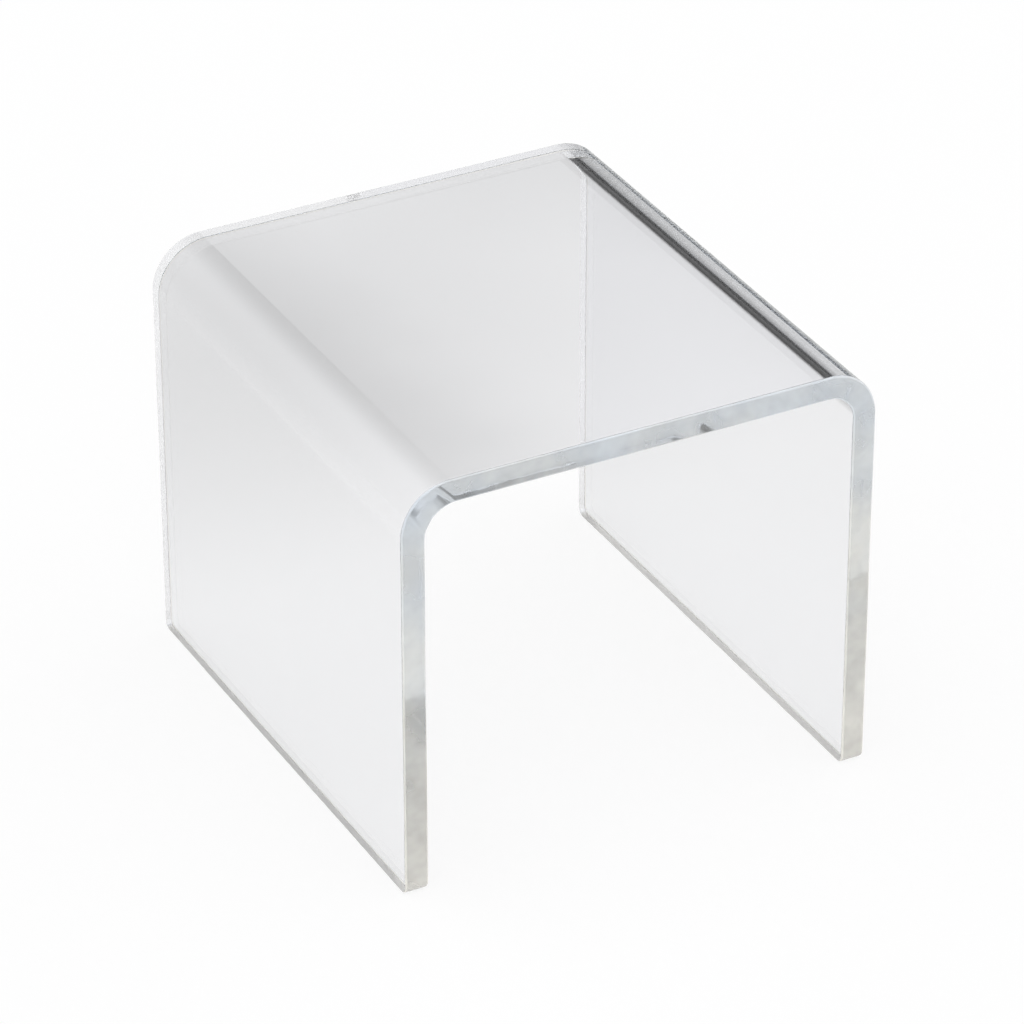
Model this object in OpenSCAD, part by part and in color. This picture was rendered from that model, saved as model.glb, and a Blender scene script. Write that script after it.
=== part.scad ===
// Clear acrylic display riser: one sheet, hot-wire bent twice into an
// upside-down U, with flame-polished cut edges.
// X runs across the two legs, Y from front to back, Z up.
// The origin is on the table, midway between the legs and midway front to back.

/* [Overall size] */
// Width across the two legs, outer face to outer face
width = 102; // [60:1:300]
// Depth from the front edge to the back edge
depth = 110; // [40:1:400]
// Height from the table to the upper face of the platform
height = 90; // [40:1:300]

/* [Sheet] */
// Thickness of the sheet
thickness = 5; // [2:0.5:8]
// Radius that flame polishing leaves along every cut edge
edge_round = 0.6; // [0.1:0.1:0.9]

/* [Bends] */
// Inside radius of the two bends
bend_inside_r = 5.5; // [1.5:0.5:20]

/* [Feet] */
// Radius of the lower corners of each leg, seen from the side
foot_corner_r = 2; // [1:0.5:10]

/* [Hidden] */
$fn = 96;
bend_outside_r = bend_inside_r + thickness;
platform_flat = width - 2 * bend_outside_r;
leg_flat = height - bend_outside_r - foot_corner_r;
foot_flat = depth - 2 * foot_corner_r;

// Cross-section of the sheet between its two cut edges:
// thickness along X, depth along Y, all four arrises rounded.
module sheet_section() {
    square([thickness, depth - 2 * edge_round], center = true);
    square([thickness - 2 * edge_round, depth], center = true);
    for (x = [-1, 1], y = [-1, 1])
        translate([x * (thickness / 2 - edge_round), y * (depth / 2 - edge_round)])
            circle(r = edge_round);
}

// Cross-section of a leg's lower edge: thickness along X, and rising
// along Y from the table, with the two lower arrises rounded.
module foot_section() {
    translate([-thickness / 2, edge_round])
        square([thickness, foot_corner_r - edge_round]);
    translate([-thickness / 2 + edge_round, 0])
        square([thickness - 2 * edge_round, foot_corner_r]);
    for (x = [-1, 1])
        translate([x * (thickness / 2 - edge_round), edge_round])
            circle(r = edge_round);
}

// The flat part of the platform, between the two bends
module platform() {
    translate([0, 0, height - thickness / 2])
        rotate([0, 90, 0])
            linear_extrude(height = platform_flat, center = true)
                sheet_section();
}

// A quarter-turn bend, from the platform down to the leg on +X
module bend() {
    translate([platform_flat / 2, 0, height - bend_outside_r])
        rotate([90, 0, 0])
            rotate_extrude(angle = 90)
                translate([bend_inside_r + thickness / 2, 0])
                    sheet_section();
}

// The leg on +X: its flat, its lower edge and the two lower corners
module leg() {
    translate([width / 2 - thickness / 2, 0, 0]) {
        translate([0, 0, foot_corner_r])
            linear_extrude(height = leg_flat)
                sheet_section();
        rotate([90, 0, 0])
            linear_extrude(height = foot_flat, center = true)
                foot_section();
        for (side = [0, 1])
            mirror([0, side, 0])
                translate([0, foot_flat / 2, foot_corner_r])
                    rotate([0, 90, 0])
                        rotate_extrude(angle = 90)
                            translate([foot_corner_r, 0])
                                rotate([0, 0, 90])
                                    foot_section();
    }
}

// The whole riser is one continuous sheet: platform, two bends, two legs
module riser_sheet() {
    color([0.90, 0.94, 0.96, 0.35])
        union() {
            platform();
            for (side = [0, 1])
                mirror([side, 0, 0]) {
                    bend();
                    leg();
                }
        }
}

riser_sheet();
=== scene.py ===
import math

import bpy
import numpy as np
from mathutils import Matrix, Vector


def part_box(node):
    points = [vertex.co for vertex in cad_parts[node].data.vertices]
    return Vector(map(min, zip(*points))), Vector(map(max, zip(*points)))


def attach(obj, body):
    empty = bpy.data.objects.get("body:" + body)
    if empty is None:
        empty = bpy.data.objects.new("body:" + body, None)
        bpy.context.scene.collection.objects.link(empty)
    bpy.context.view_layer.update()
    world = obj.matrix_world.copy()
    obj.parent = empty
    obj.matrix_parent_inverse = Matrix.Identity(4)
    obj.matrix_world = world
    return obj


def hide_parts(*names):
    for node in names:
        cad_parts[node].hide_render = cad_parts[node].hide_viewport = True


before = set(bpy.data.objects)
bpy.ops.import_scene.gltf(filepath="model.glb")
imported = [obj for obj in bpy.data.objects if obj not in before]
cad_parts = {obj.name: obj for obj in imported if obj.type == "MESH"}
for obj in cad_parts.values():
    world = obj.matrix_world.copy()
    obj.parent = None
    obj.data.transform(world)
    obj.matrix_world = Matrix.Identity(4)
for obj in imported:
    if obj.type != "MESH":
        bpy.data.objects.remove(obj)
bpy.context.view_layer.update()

# ---------------------------------------------------------------- sizes: the outer box from the CAD node, thickness and radii given
NODE = "riser_sheet"
lo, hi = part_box(NODE)
W, D, H = hi.x - lo.x, hi.y - lo.y, hi.z - lo.z
T = 0.005            # sheet thickness
RI = 0.0055          # inside radius of the bends
RO = RI + T
RC = RI + T / 2      # bend radius of the sheet's middle layer
FOOT = 0.002         # corner radius of the feet
EDGE = 0.00045       # arris radius left by the flame
FLAT = W - 2 * RO    # flat of the platform
ARC = math.pi / 2 * RC
LEG = H - RO
LENGTH = FLAT + 2 * ARC + 2 * LEG   # developed length of the sheet
# the inside of a heat bend is never a true circle about the outside's centre: the left one came out wider
GROW_LEFT, GROW_RIGHT = 0.0015, 0.0
WAIST = 0.00018


def smooth_noise(n, step, seed, closed=False):
    """n values of gentle 1-D noise between -1 and 1, one knot each step samples."""
    r = np.random.default_rng(seed)
    k = max(4, int(n / step))
    v = r.uniform(-1, 1, k + 3)
    if closed:
        v[-3:] = v[:3]
    x = np.linspace(0, k - (0 if closed else 1), n, endpoint=not closed)
    i = np.floor(x).astype(int)
    t = x - i
    t = t * t * (3 - 2 * t)
    return v[i] * (1 - t) + v[np.minimum(i + 1, len(v) - 1)] * t


# ---------------------------------------------------------------- the sheet, cut flat and then bent
def inner_shift(a, grow):
    """How far the inside of the bend moves off the concentric arc when its radius is RI + grow."""
    if grow == 0:
        return np.zeros_like(a)
    r = RI + grow
    turn = (a - FLAT / 2) / RC
    t = np.clip(turn, 0, math.pi / 2)
    sc = np.sin(t) + np.cos(t)
    on_arc = RI + grow * sc - np.sqrt(np.clip((grow * sc) ** 2 - 2 * grow ** 2 + r * r, 0, None))
    before = np.clip(FLAT / 2 - a, 0, grow)          # still on the flat, already on the wider arc
    after = np.clip(a - FLAT / 2 - ARC, 0, grow)
    q = np.maximum(before, after)
    on_flat = RI + grow - np.sqrt(np.clip(r * r - (grow - q) ** 2, 0, None))
    return np.where((turn < 0) | (turn > math.pi / 2), on_flat, on_arc)


def place(s, y, n):
    """A point of the flat sheet (s along it, y across, n out of its middle layer) once the sheet is bent."""
    side = np.where(s < 0, -1.0, 1.0)
    a = np.abs(s)
    turn = np.clip((a - FLAT / 2) / RC, 0, math.pi / 2)
    run = np.clip(a - FLAT / 2 - ARC, 0, None)
    flat = np.minimum(a, FLAT / 2)
    grown = np.where(s < 0, inner_shift(a, GROW_LEFT), inner_shift(a, GROW_RIGHT))
    # the heated line draws in by a hair on its edges, most on the outside of the bend
    thin = np.sin(np.clip((a - FLAT / 2 + 0.001) / (ARC + 0.002), 0, 1) * math.pi) ** 2
    y = y * (1 - WAIST / (D / 2) * thin * np.clip(0.5 + n / T, 0, 1) * np.clip(np.abs(y) / (D / 2), 0, 1) ** 8)
    n = n - grown * np.clip(0.5 - n / T, 0, 1)
    x = side * (flat + (RC + n) * np.sin(turn))
    z = H - RO + (RC + n) * np.cos(turn) - run
    return np.stack([x, y, z], -1)


def bent_normals(s, y, n, flat_normal):
    """The normal of a surface of the flat sheet once it is bent."""
    h = 2e-6
    n = n + 0 * s
    J = np.stack([(place(s + h, y, n) - place(s - h, y, n)) / (2 * h),
                  (place(s, y + h, n) - place(s, y - h, n)) / (2 * h),
                  (place(s, y, n + h) - place(s, y, n - h)) / (2 * h)], -1)
    out = np.linalg.solve(np.transpose(J, (0, 2, 1)), flat_normal[:, :, None])[:, :, 0]
    return out / np.linalg.norm(out, axis=1)[:, None]


def build_sheet():
    na, ny = 12, 44
    s_leg = np.concatenate([np.linspace(LENGTH / 2 - FOOT, FLAT / 2 + ARC + 0.0016, 27), np.linspace(FLAT / 2 + ARC + 0.0016, FLAT / 2 + ARC, 7)[1:]])
    s_bend = np.linspace(FLAT / 2 + ARC, FLAT / 2, 45)[1:]
    s_near = np.linspace(FLAT / 2, FLAT / 2 - 0.0016, 7)[1:]
    s_flat = np.linspace(FLAT / 2 - 0.0016, -FLAT / 2 + 0.0016, 29)[1:]
    half = np.concatenate([s_leg, s_bend, s_near])
    run = np.concatenate([half, s_flat, -half[::-1][1:]])[::-1]   # from the left foot to the right foot
    L2, D2 = LENGTH / 2 - FOOT, D / 2 - FOOT
    arc = np.linspace(0, math.pi / 2, na + 1)
    # outline along the front side: centre and outward direction of each station
    cs_ = [(-L2, -D2)] * na + [(s, -D2) for s in run] + [(L2, -D2)] * na
    us_ = [(-math.cos(t), -math.sin(t)) for t in arc[:-1]] + [(0, -1)] * len(run) + [(math.sin(t), -math.cos(t)) for t in arc[1:]]
    front_c, front_u = np.array(cs_), np.array(us_, float)
    ns = len(front_c) - 1
    back_c, back_u = front_c * [1, -1], front_u * [1, -1]
    ys = np.linspace(-1, 1, ny + 1)
    right_c = np.array([(L2, D2 * v) for v in ys[1:-1]])
    right_u = np.array([(1.0, 0.0)] * (ny - 1))
    left_c, left_u = right_c[::-1] * [-1, 1], right_u * [-1, 1]
    C = np.concatenate([front_c, right_c, back_c[::-1], left_c])
    U = np.concatenate([front_u, right_u, back_u[::-1], left_u])
    m = len(C)
    # the flame leaves the arrises a little uneven
    top_r = EDGE * (1.0 + 0.16 * smooth_noise(m, 5, 3, True) + 0.05 * smooth_noise(m, 2, 4, True))
    low_r = EDGE * (1.0 + 0.16 * smooth_noise(m, 5, 5, True) + 0.05 * smooth_noise(m, 2, 6, True))
    q, e = 9, 5
    rings = [(-T / 2 + low_r * (1 - math.cos(k / q * math.pi / 2)), low_r * (1 - math.sin(k / q * math.pi / 2)),
              math.sin(k / q * math.pi / 2), -math.cos(k / q * math.pi / 2)) for k in range(q + 1)]
    for k in range(1, e):
        f = k / e
        rings.append(((-T / 2 + low_r) * (1 - f) + (T / 2 - top_r) * f, 0 * top_r, 1.0, 0.0))
    rings += [(T / 2 - top_r * (1 - math.cos(k / q * math.pi / 2)), top_r * (1 - math.sin(k / q * math.pi / 2)),
               math.sin(k / q * math.pi / 2), math.cos(k / q * math.pi / 2)) for k in range(q, -1, -1)]
    verts, norms = [], []
    for n, inset, au, an in rings:
        p = C + U * (FOOT - inset)[:, None]
        verts.append(place(p[:, 0], p[:, 1], n))
        norms.append(bent_normals(p[:, 0], p[:, 1], n, np.stack([U[:, 0] * au, U[:, 1] * au, 0 * n + an], -1)))
    nr = len(rings)
    flat2d = [(C + U * (FOOT - r[1])[:, None], r[0]) for r in (rings[0], rings[-1])]
    verts, norms = np.concatenate(verts), np.concatenate(norms)

    # station numbers on the outline
    fr = np.arange(ns + 1)
    rt = np.concatenate([[ns], ns + 1 + np.arange(ny - 1), [ns + ny]])
    bk = (ns + ny + np.arange(ns + 1))[::-1]
    lf = np.concatenate([[0], (ns + ny + ns + 1 + np.arange(ny - 1))[::-1], [bk[0]]])
    faces = []
    for r in range(nr - 1):
        for k in range(m):
            k2 = (k + 1) % m
            faces.append((r * m + k, r * m + k2, (r + 1) * m + k2, (r + 1) * m + k))
    extra_v, extra_n = [], []
    for ring, sgn, (p2, nn) in ((0, -1, flat2d[0]), (nr - 1, 1, flat2d[1])):
        base = len(verts) + sum(len(v) for v in extra_v)
        grid = np.zeros((ns + 1, ny + 1), int)
        grid[:, 0], grid[:, ny] = ring * m + fr, ring * m + bk
        grid[0, :], grid[ns, :] = ring * m + lf, ring * m + rt
        inner = []
        count = 0
        # the grid follows all four sides, so the uneven arris never folds a row over the next
        run_u = (p2[fr][:, 0] - p2[fr[0], 0]) / (p2[fr[-1], 0] - p2[fr[0], 0])
        for i in range(1, ns):
            u = run_u[i]
            for j in range(1, ny):
                t = j / ny
                left = p2[lf[j]] - (p2[fr[0]] * (1 - t) + p2[bk[0]] * t)
                right = p2[rt[j]] - (p2[fr[-1]] * (1 - t) + p2[bk[-1]] * t)
                inner.append((p2[fr[i]] * (1 - t) + p2[bk[i]] * t + left * (1 - u) + right * u, nn[fr[i]] * (1 - t) + nn[bk[i]] * t))
                grid[i, j] = base + count
                count += 1
        P = np.array([v[0] for v in inner])
        N = np.array([v[1] for v in inner])
        extra_v.append(place(P[:, 0], P[:, 1], N))
        extra_n.append(bent_normals(P[:, 0], P[:, 1], N, np.array([[0.0, 0.0, sgn]] * len(P))))
        for i in range(ns):
            for j in range(ny):
                quad = (grid[i, j], grid[i + 1, j], grid[i + 1, j + 1], grid[i, j + 1])
                faces.append(quad if sgn > 0 else quad[::-1])
    verts = np.concatenate([verts] + extra_v)
    norms = np.concatenate([norms] + extra_n)
    mesh = bpy.data.meshes.new("bent_sheet")
    mesh.from_pydata(verts.tolist(), [], [tuple(int(v) for v in f) for f in faces])
    mesh.validate()
    mesh.polygons.foreach_set("use_smooth", [True] * len(mesh.polygons))
    mesh.normals_split_custom_set_from_vertices(norms.tolist())
    # how far a point is on the polished cut edge: 0 on the two faces, 1 on the edge
    edge_share = np.zeros(len(verts))
    for r, (n, inset, au, an) in enumerate(rings):
        edge_share[r * m:(r + 1) * m] = min(1.0, au * 1.6)
    mesh.attributes.new("edge", "FLOAT", "POINT").data.foreach_set("value", edge_share.astype(np.float32))
    # and how far it is on a rounded arris, where the flame has left a milky line
    arris = np.zeros(len(verts))
    for r, (n, inset, au, an) in enumerate(rings):
        arris[r * m:(r + 1) * m] = 2 * au * abs(an)
    mesh.attributes.new("arris", "FLOAT", "POINT").data.foreach_set("value", arris.astype(np.float32))
    mesh.update()
    return mesh


sheet = bpy.data.objects.new("bent_sheet", build_sheet())
bpy.context.scene.collection.objects.link(sheet)
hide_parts(NODE)
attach(sheet, "root")


# ---------------------------------------------------------------- materials
def nodes_of(mat):
    mat.use_nodes = True
    nt = mat.node_tree
    nt.nodes.clear()
    return nt


def link(nt, a, b):
    nt.links.new(a, b)


def add(nt, kind, **values):
    n = nt.nodes.new(kind)
    for k, v in values.items():
        if hasattr(n, k):
            setattr(n, k, v)
        else:
            n.inputs[k.replace("_", " ")].default_value = v
    return n


def value(nt, op, a, b=None):
    n = add(nt, "ShaderNodeMath", operation=op)
    for i, v in enumerate((a, b)):
        if v is None:
            continue
        if isinstance(v, (int, float)):
            n.inputs[i].default_value = v
        else:
            link(nt, v, n.inputs[i])
    return n.outputs[0]


def blend(nt, factor, a, b):
    """a where factor is 0, b where it is 1, for colours given as triples or sockets."""
    n = add(nt, "ShaderNodeMix", data_type="RGBA")
    ins = [s for s in n.inputs if s.type == "RGBA"]
    for s, v in zip(ins, (a, b)):
        if isinstance(v, tuple):
            s.default_value = (*v, 1)
        else:
            link(nt, v, s)
    link(nt, factor, n.inputs["Factor"])
    return [s for s in n.outputs if s.type == "RGBA"][0]


def noise(nt, co, scale, detail, stretch=(1, 1, 1), turn=(0, 0, 0)):
    m = add(nt, "ShaderNodeMapping")
    m.inputs["Scale"].default_value = stretch
    m.inputs["Rotation"].default_value = turn
    link(nt, co, m.inputs["Vector"])
    n = add(nt, "ShaderNodeTexNoise")
    n.inputs["Scale"].default_value = scale
    n.inputs["Detail"].default_value = detail
    link(nt, m.outputs["Vector"], n.inputs["Vector"])
    return n.outputs["Fac"]


def remap(nt, v, lo_in, hi_in, lo_out, hi_out):
    n = add(nt, "ShaderNodeMapRange")
    for k, x in (("From Min", lo_in), ("From Max", hi_in), ("To Min", lo_out), ("To Max", hi_out)):
        n.inputs[k].default_value = x
    link(nt, v, n.inputs["Value"])
    return n.outputs["Result"]


FACE_TINT = ((0.984, 0.983, 0.993), (0.974, 0.973, 0.986))
# the warm edge colour serves both random warm tone on the edges and a painted glow on the feet and the back
# edge
EDGE_COOL, EDGE_WARM_TONE_AND_GLOW = (0.84, 0.90, 0.97), (1.0, 0.975, 0.905)

acrylic = bpy.data.materials.new("clear_acrylic")
nt = nodes_of(acrylic)
out = add(nt, "ShaderNodeOutputMaterial")
p = add(nt, "ShaderNodeBsdfPrincipled")
p.inputs["Transmission Weight"].default_value = 1.0
p.inputs["IOR"].default_value = 1.491
link(nt, p.outputs["BSDF"], out.inputs["Surface"])
vol = add(nt, "ShaderNodeVolumeAbsorption")
vol.inputs["Color"].default_value = (0.775, 0.802, 0.838, 1)
vol.inputs["Density"].default_value = 16.0
link(nt, vol.outputs["Volume"], out.inputs["Volume"])
co = add(nt, "ShaderNodeTexCoord").outputs["Object"]
att = add(nt, "ShaderNodeAttribute")
att.attribute_name = "edge"
on_edge = att.outputs["Fac"]
# a very faint cloudiness in the tint of the faces
tint = blend(nt, noise(nt, co, 22.0, 2.0), *FACE_TINT)
# the cut edge is only part polished: it scatters some light. Its colour is cooler toward the top and warmer and
# lighter toward the feet and on the back edge, which is a painted glow; noise streaks add random warm tone
xyz = add(nt, "ShaderNodeSeparateXYZ")
link(nt, co, xyz.inputs[0])
# painted glow: the edges get warmer and lighter toward the feet
painted_glow_toward_feet = remap(nt, xyz.outputs["Z"], 0.088, 0.01, 0.0, 0.9)
streaks = remap(nt, noise(nt, co, 55.0, 3.0, (1, 1, 1), (0.4, 0.1, 0.7)), 0.35, 0.65, 0.0, 0.55)
# painted glow on the back edges
painted_glow_on_back_edge = remap(nt, xyz.outputs["Y"], 0.0535, 0.0548, 0.0, 1.0)
edge_tint_and_painted_glow = blend(nt, value(nt, "MINIMUM", value(nt, "ADD", value(nt, "ADD", painted_glow_toward_feet, streaks), painted_glow_on_back_edge), 1.0), EDGE_COOL, EDGE_WARM_TONE_AND_GLOW)
link(nt, blend(nt, on_edge, tint, edge_tint_and_painted_glow), p.inputs["Base Color"])
haze = remap(nt, noise(nt, co, 90.0, 3.0), 0.35, 0.65, 0.22, 0.44)
# the undersides of the feet are left satin, and the back edge came out of the flame clearer
satin = remap(nt, xyz.outputs["Z"], 0.0008, 0.0003, 0.0, 0.62)
feet = remap(nt, xyz.outputs["Z"], 0.0008, 0.0003, 1.0, 0.35)
rear = remap(nt, xyz.outputs["Y"], 0.0535, 0.0548, 1.0, 0.12)
milky = add(nt, "ShaderNodeAttribute")
milky.attribute_name = "arris"
haze = value(nt, "ADD", haze, value(nt, "MULTIPLY", milky.outputs["Fac"], 0.4))
haze = value(nt, "MULTIPLY", haze, value(nt, "MULTIPLY", rear, feet))
link(nt, value(nt, "SUBTRACT", 1.0, value(nt, "MULTIPLY", on_edge, haze)), p.inputs["Transmission Weight"])
# hairline wiping marks on the faces, and a softer gloss on the flame-polished edge
marks = remap(nt, noise(nt, co, 1.0, 3.0, (900, 60, 420), (0.3, 0.2, 0.5)), 0.55, 0.85, 0.0, 0.02)
soft = remap(nt, noise(nt, co, 160.0, 2.0), 0.3, 0.7, 0.02, 0.06)
soft = value(nt, "ADD", soft, satin)
rough = value(nt, "ADD", marks, value(nt, "MULTIPLY", on_edge, soft))
link(nt, rough, p.inputs["Roughness"])
# optical waviness: long swells in the cast sheet, and ripples where the flame has passed
swell = noise(nt, co, 30.0, 1.0)
b1 = add(nt, "ShaderNodeBump")
b1.inputs["Distance"].default_value = 0.00003
link(nt, swell, b1.inputs["Height"])
ripple = value(nt, "MULTIPLY", noise(nt, co, 120.0, 2.0), on_edge)
b2 = add(nt, "ShaderNodeBump")
b2.inputs["Distance"].default_value = 0.00005
link(nt, ripple, b2.inputs["Height"])
link(nt, b1.outputs["Normal"], b2.inputs["Normal"])
link(nt, b2.outputs["Normal"], p.inputs["Normal"])
sheet.data.materials.append(acrylic)

# ---------------------------------------------------------------- floor
fm = bpy.data.meshes.new("floor")
S = 6.0
fm.from_pydata([(-S, -S, 0), (S, -S, 0), (S, S, 0), (-S, S, 0)], [], [(0, 1, 2, 3)])
floor = bpy.data.objects.new("floor", fm)
bpy.context.scene.collection.objects.link(floor)
floor.location.z = -0.00002
def is_camera(nt):
    return add(nt, "ShaderNodeLightPath").outputs["Is Camera Ray"]


def glowing_ground(nt, albedo, glow):
    """A pale diffuse ground that is lit a little from below, as a light table is."""
    d = add(nt, "ShaderNodeBsdfDiffuse")
    d.inputs["Color"].default_value = (*albedo, 1)
    e = add(nt, "ShaderNodeEmission")
    e.inputs["Color"].default_value = (*glow, 1)
    both = add(nt, "ShaderNodeAddShader")
    link(nt, d.outputs[0], both.inputs[0])
    link(nt, e.outputs[0], both.inputs[1])
    return both.outputs[0]


def painted_patch(nt, xy, x, y, radius, amount):
    """A soft round patch of painted light on the ground, amount at its middle and 0 at radius; a negative
    amount paints shade.
    """
    d = add(nt, "ShaderNodeVectorMath", operation="DISTANCE")
    link(nt, xy, d.inputs[0])
    d.inputs[1].default_value = (x, y, 0)
    m = add(nt, "ShaderNodeMapRange", interpolation_type="SMOOTHSTEP")
    for k, v in (("From Min", 0.0), ("From Max", radius), ("To Min", amount), ("To Max", 0.0)):
        m.inputs[k].default_value = v
    link(nt, d.outputs["Value"], m.inputs["Value"])
    return m.outputs["Result"]


# the ground is painted near-white where the camera sees it directly; where it is seen through the acrylic it
# glows with a painted pool of light a step below that, with a painted shadow patch behind the riser, and on one
# side a painted fall to dark beyond the lit table
mat = bpy.data.materials.new("floor_with_painted_light")
nt = nodes_of(mat)
out = add(nt, "ShaderNodeOutputMaterial")
mixs = add(nt, "ShaderNodeMixShader")
link(nt, is_camera(nt), mixs.inputs["Fac"])
xy = add(nt, "ShaderNodeTexCoord").outputs["Object"]
away = add(nt, "ShaderNodeVectorMath", operation="LENGTH")
link(nt, xy, away.inputs[0])
# painted pool of light: the ground seen through the acrylic darkens with distance, down to black far out
painted_fall_to_dark = add(nt, "ShaderNodeValToRGB")
link(nt, away.outputs["Value"], painted_fall_to_dark.inputs["Fac"])
el = painted_fall_to_dark.color_ramp.elements
el[0].position, el[0].color = 0.0, (0.95, 0.95, 0.945, 1)
el[1].position, el[1].color = 1.0, (0.03, 0.03, 0.03, 1)
for pos, v in ((0.06, 0.94), (0.10, 0.885), (0.18, 0.84), (0.227, 0.74), (0.29, 0.62), (0.37, 0.52), (0.55, 0.42), (0.80, 0.16)):
    e = el.new(pos)
    e.color = (v, v, v * 0.995, 1)
# painted shadow: a darker patch on the ground behind the riser
painted_shadow_level = value(nt, "ADD", painted_patch(nt, xy, 0.015, 0.150, 0.13, -0.17), 1.0)
unit = add(nt, "ShaderNodeVectorMath", operation="NORMALIZE")
link(nt, xy, unit.inputs[0])
toward = add(nt, "ShaderNodeVectorMath", operation="DOT_PRODUCT")
link(nt, unit.outputs["Vector"], toward.inputs[0])
toward.inputs[1].default_value = (0.7071, 0.7071, 0)
# painted dark side: toward +X+Y the painted light falls away fully to dark
painted_dark_side = remap(nt, toward.outputs["Value"], 0.87, 0.95, 0.0, 1.0)
# painted pool of light on the other sides, which only drops to 0.86
painted_light_pool = add(nt, "ShaderNodeValToRGB")
link(nt, away.outputs["Value"], painted_light_pool.inputs["Fac"])
el = painted_light_pool.color_ramp.elements
el[0].position, el[0].color = 0.0, (0.95, 0.95, 0.945, 1)
el[1].position, el[1].color = 1.0, (0.86, 0.86, 0.86, 1)
for pos, v in ((0.06, 0.94), (0.10, 0.885), (0.18, 0.84)):
    e = el.new(pos)
    e.color = (v, v, v * 0.995, 1)
ground = add(nt, "ShaderNodeVectorMath", operation="SCALE")
link(nt, blend(nt, painted_dark_side, painted_light_pool.outputs["Color"], painted_fall_to_dark.outputs["Color"]), ground.inputs[0])
link(nt, painted_shadow_level, ground.inputs["Scale"])
# seen through the acrylic the ground glows with this painted light map, with a little diffuse on top
d = add(nt, "ShaderNodeBsdfDiffuse")
e = add(nt, "ShaderNodeEmission")
e.inputs["Strength"].default_value = 0.78
shade = add(nt, "ShaderNodeVectorMath", operation="SCALE")
shade.inputs["Scale"].default_value = 0.24
link(nt, ground.outputs[0], shade.inputs[0])
link(nt, shade.outputs[0], d.inputs["Color"])
link(nt, ground.outputs[0], e.inputs["Color"])
both = add(nt, "ShaderNodeAddShader")
link(nt, d.outputs[0], both.inputs[0])
link(nt, e.outputs[0], both.inputs[1])
link(nt, both.outputs[0], mixs.inputs[1])
link(nt, glowing_ground(nt, (0.14, 0.14, 0.14), (0.85, 0.85, 0.85)), mixs.inputs[2])
link(nt, mixs.outputs[0], out.inputs["Surface"])
fm.materials.append(mat)

# ---------------------------------------------------------------- studio light
world = bpy.data.worlds.new("studio")
bpy.context.scene.world = world
world.use_nodes = True
nt = world.node_tree
nt.nodes.clear()
out = nt.nodes.new("ShaderNodeOutputWorld")
bg = nt.nodes.new("ShaderNodeBackground")
nt.links.new(bg.outputs[0], out.inputs[0])
direction = add(nt, "ShaderNodeTexCoord").outputs["Generated"]
sep = add(nt, "ShaderNodeSeparateXYZ")
link(nt, direction, sep.inputs[0])
ramp = add(nt, "ShaderNodeValToRGB")
link(nt, remap(nt, sep.outputs["Z"], -0.2, 1.0, 0.0, 1.0), ramp.inputs["Fac"])
el = ramp.color_ramp.elements


def at(sine):
    return (sine + 0.2) / 1.2


# pale walls and a bright ceiling panel
el[0].position, el[0].color = 0.0, (0.86, 0.86, 0.86, 1)
el[1].position, el[1].color = 1.0, (1.7, 1.7, 1.7, 1)
for sine, c in ((0.0, (0.86, 0.86, 0.86)), (0.235, (0.84, 0.84, 0.84)), (0.45, (0.95, 0.95, 0.96)),
                (0.65, (0.95, 0.96, 0.98)), (0.85, (1.3, 1.3, 1.3))):
    e = el.new(at(sine))
    e.color = (*c, 1)


def along(vector, lo_in, hi_in, lo_out, hi_out):
    """A soft step across the sky, measured along a direction."""
    d = add(nt, "ShaderNodeVectorMath", operation="DOT_PRODUCT")
    link(nt, direction, d.inputs[0])
    d.inputs[1].default_value = vector
    m = add(nt, "ShaderNodeMapRange", interpolation_type="SMOOTHSTEP")
    for k, v in (("From Min", lo_in), ("From Max", hi_in), ("To Min", lo_out), ("To Max", hi_out)):
        m.inputs[k].default_value = v
    link(nt, d.outputs["Value"], m.inputs["Value"])
    return m.outputs["Result"]


# a soft box behind the platform in front of a dark curtain; its left edge fades across the top
box = along((0.6633, 0.1218, -0.7386), -0.0310, 0.0020, 0.0, 0.88)
inside = along((0.4027, 0.7735, 0.4894), 0.760, 0.970, 0.0, 1.0)
soft_box = add(nt, "ShaderNodeVectorMath", operation="SCALE")
soft_box.inputs[0].default_value = (1.0, 1.0, 1.01)
link(nt, box, soft_box.inputs["Scale"])
sky = blend(nt, inside, ramp.outputs["Color"], soft_box.outputs[0])
# a black flag to the right of it
flag = along((0.6078, 0.7243, 0.3256), 0.9703, 0.9848, 0.0, 1.0)
sky = blend(nt, flag, sky, (0.02, 0.02, 0.02))
# and nothing but a dark room through the gap below them
below = along((0, 0, 1), 0.196, 0.232, 1.0, 0.0)
gap = along((0.6561, 0.7547, 0), 0.87, 0.95, 0.0, 1.0)
sky = blend(nt, value(nt, "MULTIPLY", below, gap), sky, (0.015, 0.015, 0.015))
white = blend(nt, is_camera(nt), sky, (0.985, 0.985, 0.985))
link(nt, white, bg.inputs["Color"])
bg.inputs["Strength"].default_value = 1.0

# ---------------------------------------------------------------- camera, at the photographed angle
cam = bpy.data.cameras.new("camera")
cam.lens = 191.742
cam.sensor_width = 36.0
cam.clip_end = 50
camera = bpy.data.objects.new("camera", cam)
bpy.context.scene.collection.objects.link(camera)
camera.location = (-0.43267, -0.82329, 0.60191)
camera.rotation_euler = (math.radians(58.97258), math.radians(0.07267), math.radians(-27.82717))
bpy.context.scene.camera = camera

scene = bpy.context.scene
scene.view_settings.view_transform = "Standard"
scene.view_settings.look = "None"
scene.cycles.max_bounces = 96
scene.cycles.transmission_bounces = 48
scene.cycles.glossy_bounces = 80
scene.cycles.transparent_max_bounces = 16
scene.cycles.diffuse_bounces = 4
